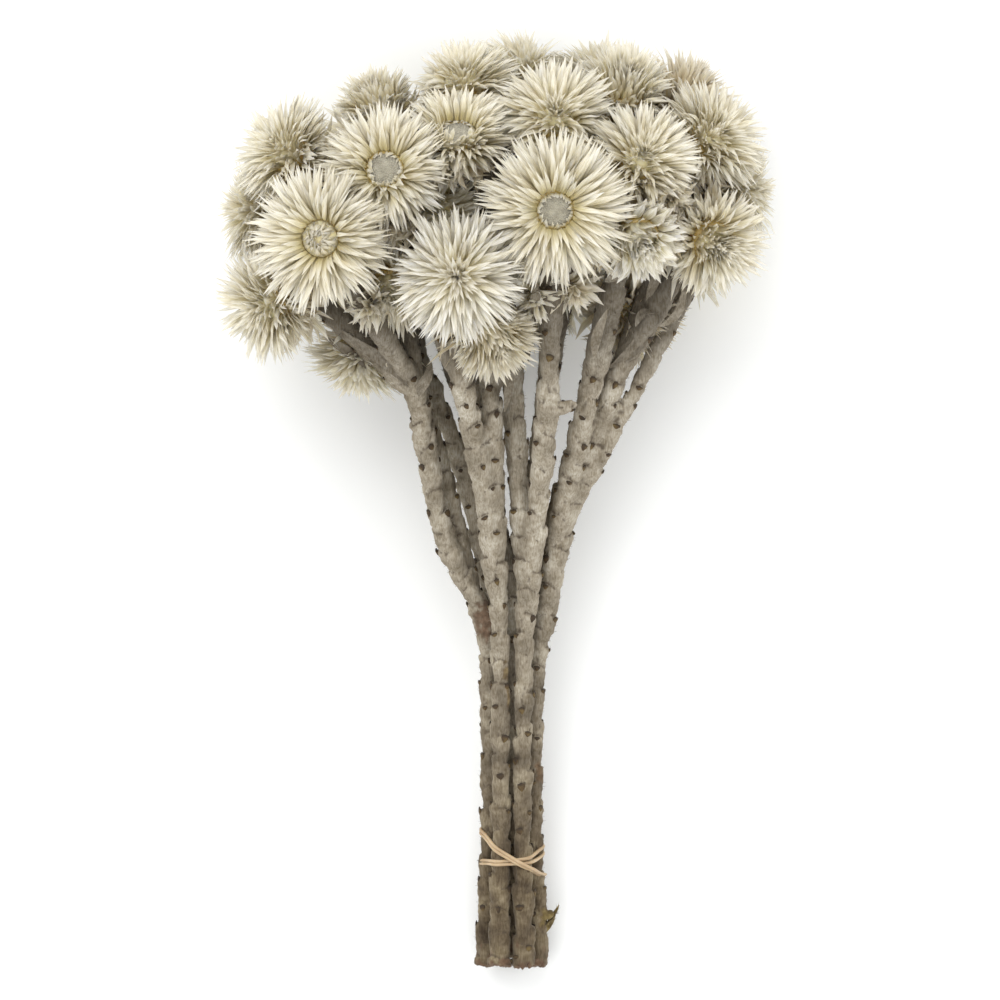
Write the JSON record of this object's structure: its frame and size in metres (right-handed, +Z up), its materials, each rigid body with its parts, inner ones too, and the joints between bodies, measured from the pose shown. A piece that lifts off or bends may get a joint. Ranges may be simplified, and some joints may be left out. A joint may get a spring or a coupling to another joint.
{
  "type": "dried strawflower bunch",
  "caption": "Tied bunch of dried strawflowers: spiky cream papery blooms on branching grey woolly stems, bound with a rubber band, lying on a surface.",
  "frame": {"origin": "on the surface the bunch lies on, under the middle of its box", "axes": "+Y from the cut stem ends to the head, +Z up from the surface, +X to the right seen from above"},
  "size_m": [0.1977, 0.3366, 0.1227],
  "materials": {
    "stem_wool": "matte, felted grey wool",
    "bract_paper": "satin, papery",
    "band_rubber": "smooth, slightly shiny"
  },
  "bodies": {
    "root": {"stem_left": "stem_wool", "stem_front_left": "stem_wool", "stem_front_right": "stem_wool", "stem_right": "stem_wool", "stem_middle": "stem_wool", "stem_under_left": "stem_wool", "stem_under_right": "stem_wool", "bloom_01": "bract_paper", "bloom_02": "bract_paper", "bloom_03": "bract_paper", "bloom_04": "bract_paper", "bloom_05": "bract_paper", "bloom_06": "bract_paper", "bloom_07": "bract_paper", "bloom_08": "bract_paper", "bloom_09": "bract_paper", "bloom_10": "bract_paper", "bloom_11": "bract_paper", "bloom_12": "bract_paper", "bloom_13": "bract_paper", "bloom_14": "bract_paper", "bloom_15": "bract_paper", "bloom_16": "bract_paper", "bloom_17": "bract_paper", "bloom_18": "bract_paper", "bloom_19": "bract_paper", "bloom_20": "bract_paper", "bloom_21": "bract_paper", "bloom_22": "bract_paper", "bloom_23": "bract_paper", "bloom_24": "bract_paper", "bloom_25": "bract_paper", "bloom_26": "bract_paper", "bloom_27": "bract_paper", "bloom_28": "bract_paper", "bloom_29": "bract_paper", "bloom_30": "bract_paper", "bloom_31": "bract_paper", "bloom_32": "bract_paper", "rubber_band": "band_rubber"}
  },
  "joints": []
}
